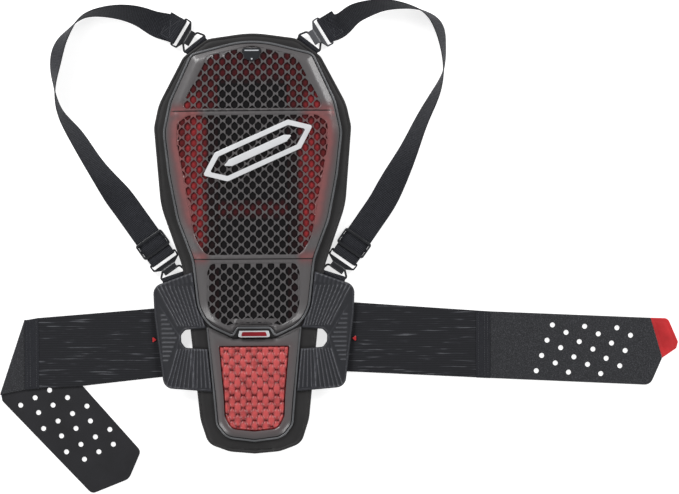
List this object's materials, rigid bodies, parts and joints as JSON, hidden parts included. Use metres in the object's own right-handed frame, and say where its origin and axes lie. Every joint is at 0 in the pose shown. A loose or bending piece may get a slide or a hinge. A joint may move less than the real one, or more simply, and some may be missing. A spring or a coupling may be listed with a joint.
{
  "type": "motorcycle back protector",
  "caption": "Motorcycle back protector: honeycomb shell over foam, coccyx plate, waist wings, kidney belt and shoulder straps",
  "frame": {"origin": "on the floor under the middle of the whole object as it lies open, shell up", "axes": "+X across the spine towards the long closure belt, +Y towards the neck, +Z away from the wearer"},
  "size_m": [0.9475, 0.6856, 0.0391],
  "materials": {
    "eva_black": "matte closed-cell EVA foam with a fine pebble skin",
    "liner_mesh": "perforated spacer mesh against the wearer",
    "shell_smoke": "smoke-grey moulded shell with a honeycomb of openings",
    "core_red": "red moulded cell core, glossy domes",
    "core_black": "black cell core along the spine",
    "bead_grey": "light grey sewn edge bead",
    "wing_rubber": "ribbed moulded rubber",
    "belt_elastic": "wide ribbed elastic",
    "belt_band": "smooth stitched seam band",
    "belt_loop": "brushed loop fabric with punched air holes",
    "tab_red": "red coated tab",
    "webbing": "38 mm woven polyester webbing",
    "hardware": "black acetal buckles",
    "badge_chrome": "bright badge frame",
    "badge_red": "dark red badge face",
    "emblem_silver": null,
    "tag_dark": "dark shield-shaped size tag, letter left out"
  },
  "bodies": {
    "back": {"base_foam": "eva_black", "comfort_liner": "liner_mesh", "main_shell": "shell_smoke", "shell_bead": "bead_grey", "spine_core": "core_black", "thorax_core": "core_red", "size_tag": "tag_dark", "shell_emblem": "emblem_silver", "badge_bezel": "badge_chrome", "badge_insert": "badge_red", "left_wing_upper_root": "wing_rubber", "right_wing_upper_root": "wing_rubber", "left_upper_ring": "hardware", "right_upper_ring": "hardware", "left_upper_anchor": "webbing", "right_upper_anchor": "webbing"},
    "coccyx": {"coccyx_foam": "eva_black", "coccyx_liner": "liner_mesh", "coccyx_shell": "shell_smoke", "coccyx_core": "core_red", "coccyx_bead": "bead_grey", "left_wing_lower_root": "wing_rubber", "right_wing_lower_root": "wing_rubber"},
    "left_wing": {"left_wing_panel": "wing_rubber", "left_wing_fastening_pad": "belt_loop", "left_lower_anchor": "webbing"},
    "left_belt": {"left_belt_elastic": "belt_elastic", "left_belt_band": "belt_band", "left_belt_pointer": "tab_red", "left_belt_root": "belt_loop"},
    "left_tail": {"left_belt_tail": "belt_loop"},
    "left_strap": {"left_shoulder_strap": "webbing", "left_upper_hook": "hardware"},
    "left_adjuster": {"left_adjuster": "hardware"},
    "left_lower_hook": {"left_lower_hook": "hardware"},
    "left_lower_ring": {"left_lower_ring": "hardware"},
    "right_wing": {"right_wing_panel": "wing_rubber", "right_wing_fastening_pad": "belt_loop", "right_lower_anchor": "webbing"},
    "right_belt": {"right_belt_elastic": "belt_elastic", "right_belt_band": "belt_band", "right_belt_pointer": "tab_red", "right_belt_tail": "belt_loop", "right_pull_tab": "tab_red"},
    "right_strap": {"right_shoulder_strap": "webbing", "right_upper_hook": "hardware"},
    "right_adjuster": {"right_adjuster": "hardware"},
    "right_lower_hook": {"right_lower_hook": "hardware"},
    "right_lower_ring": {"right_lower_ring": "hardware"}
  },
  "joints": [
    {"name": "coccyx_flex", "type": "hinge", "parent": "back", "child": "coccyx", "pos_m": [-0.11897, -0.12293, 0], "axis": [1, 0, 0], "range_deg": [0, 12]},
    {"name": "left_wing_bend", "type": "hinge", "parent": "back", "child": "left_wing", "pos_m": [-0.20862, -0.12193, 0.012], "axis": [0.1024, -0.9947, 0], "range_deg": [0, 45]},
    {"name": "left_belt_height", "type": "slide", "parent": "left_wing", "child": "left_belt", "axis": [0, 1, 0], "range_m": [-0.024, 0.024]},
    {"name": "left_lower_ring_tilt", "type": "hinge", "parent": "left_wing", "child": "left_lower_ring", "pos_m": [-0.23026, -0.04133, 0.0071], "axis": [0.9511, 0.309, 0], "range_deg": [-60, 0]},
    {"name": "left_strap_swing", "type": "hinge", "parent": "back", "child": "left_strap", "pos_m": [-0.20297, 0.29007, 0.007], "axis": [0, 1, 0], "range_deg": [0, 12]},
    {"name": "left_adjuster_slide", "type": "slide", "parent": "left_strap", "child": "left_adjuster", "axis": [-0.5736, 0.8192, 0], "range_m": [-0.006, 0.035]},
    {"name": "left_lower_hook_lift", "type": "hinge", "parent": "left_strap", "child": "left_lower_hook", "pos_m": [-0.24632, -0.01545, 0.0055], "axis": [-0.8192, -0.5736, 0], "range_deg": [0, 40]},
    {"name": "right_wing_bend", "type": "hinge", "parent": "back", "child": "right_wing", "pos_m": [-0.02931, -0.12193, 0.012], "axis": [0.1024, 0.9947, 0], "range_deg": [0, 45]},
    {"name": "right_belt_height", "type": "slide", "parent": "right_wing", "child": "right_belt", "axis": [0, 1, 0], "range_m": [-0.024, 0.024]},
    {"name": "right_lower_ring_tilt", "type": "hinge", "parent": "right_wing", "child": "right_lower_ring", "pos_m": [-0.00767, -0.04133, 0.0071], "axis": [0.9511, -0.309, 0], "range_deg": [-60, 0]},
    {"name": "right_strap_swing", "type": "hinge", "parent": "back", "child": "right_strap", "pos_m": [-0.03497, 0.29007, 0.007], "axis": [0, -1, 0], "range_deg": [0, 12]},
    {"name": "right_adjuster_slide", "type": "slide", "parent": "right_strap", "child": "right_adjuster", "axis": [0.5736, 0.8192, 0], "range_m": [-0.006, 0.035]},
    {"name": "right_lower_hook_lift", "type": "hinge", "parent": "right_strap", "child": "right_lower_hook", "pos_m": [0.00839, -0.01545, 0.0055], "axis": [-0.8192, 0.5736, 0], "range_deg": [0, 40]},
    {"name": "left_tail_fold", "type": "hinge", "parent": "left_belt", "child": "left_tail", "pos_m": [-0.45665, -0.15263, 0.00215], "axis": [0.3187, 0.9479, 0], "range_deg": [0, 170]}
  ]
}
